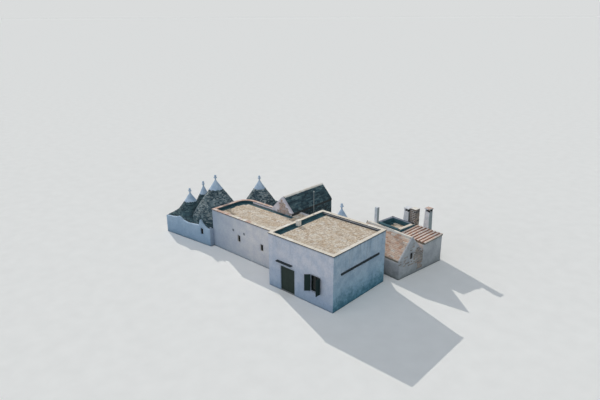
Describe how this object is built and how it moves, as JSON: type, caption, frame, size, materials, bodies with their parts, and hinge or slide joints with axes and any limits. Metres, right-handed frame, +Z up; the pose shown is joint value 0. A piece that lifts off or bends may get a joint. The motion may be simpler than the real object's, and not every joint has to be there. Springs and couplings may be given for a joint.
{
  "type": "trullo farmhouse",
  "caption": "Trullo farmhouse: flat-roofed limewashed blocks with a hinged double front door, dry-stone cones with white caps, a steep stone-roofed house and low rear annexes.",
  "frame": {"origin": "middle of the main room at ground level, on the underside of its floor", "axes": "+Z up, the front with the door faces -Y, the trullo wing lies towards -X"},
  "size_m": [24.3578, 14.4793, 6.7],
  "materials": {
    "limewash": "limewashed masonry",
    "plaster": "white plaster",
    "dry_stone": "dry-laid limestone slabs",
    "stone_paving": "limestone paving",
    "pale_stone": "dressed pale limestone",
    "dark_slab": "dark weathered slab",
    "green_wood": "dark green painted wood",
    "white_wood": "white painted wood",
    "brown_wood": "dark stained wood",
    "glass": "clear",
    "terracotta_coping": "fired clay tile",
    "terracotta_tile": "fired clay roof tile",
    "mast_steel": "weathered grey paint on steel tube"
  },
  "bodies": {
    "house": {"floors": "stone_paving", "main_wall_front_left": "limewash", "main_wall_over_door": "limewash", "main_wall_front_right": "limewash", "main_wall_right": "limewash", "main_wall_back": "limewash", "main_wall_left": "limewash", "main_roof": "stone_paving", "main_parapet": "limewash", "main_coping": "pale_stone", "roof_mast": "mast_steel", "door_canopy": "dark_slab", "side_ledge": "dark_slab", "door_frame": "green_wood", "window_frame": "white_wood", "window_panes": "glass", "window_shutters": "green_wood", "window_sill": "pale_stone", "middle_wall_front": "limewash", "middle_wall_left": "limewash", "middle_wall_back": "limewash", "middle_roof": "stone_paving", "middle_parapet": "limewash", "middle_coping": "terracotta_coping", "niche_windows": "brown_wood", "link_walls": "limewash", "wing_wall_front": "limewash", "wing_wall_left": "limewash", "wing_wall_back": "limewash", "wing_wall_right": "limewash", "wing_bed": "dry_stone", "cone_front": "dry_stone", "cone_big": "dry_stone", "cone_small": "dry_stone", "cone_rear": "dry_stone", "cone_yard": "dry_stone", "cone_caps": "plaster", "pinnacles": "plaster", "rear_trullo_walls": "limewash", "yard_trullo_walls": "limewash", "gable_house_walls": "limewash", "gable_house_gables": "limewash", "gable_house_roof": "dry_stone", "side_wing_walls": "limewash", "side_wing_gables": "limewash", "side_wing_roof": "terracotta_tile", "annex_walls": "limewash", "annex_roof": "terracotta_tile", "chimneys": "limewash"},
    "left_leaf": {"door_leaf_left": "green_wood"},
    "right_leaf": {"door_leaf_right": "green_wood"}
  },
  "joints": [
    {"name": "left_leaf_hinge", "type": "hinge", "parent": "house", "child": "left_leaf", "pos_m": [-1.929, -3.2471, 0], "axis": [0, 0, -1], "range_deg": [0, 110]},
    {"name": "right_leaf_hinge", "type": "hinge", "parent": "house", "child": "right_leaf", "pos_m": [-0.571, -3.2471, 0], "axis": [0, 0, 1], "range_deg": [0, 110]}
  ]
}
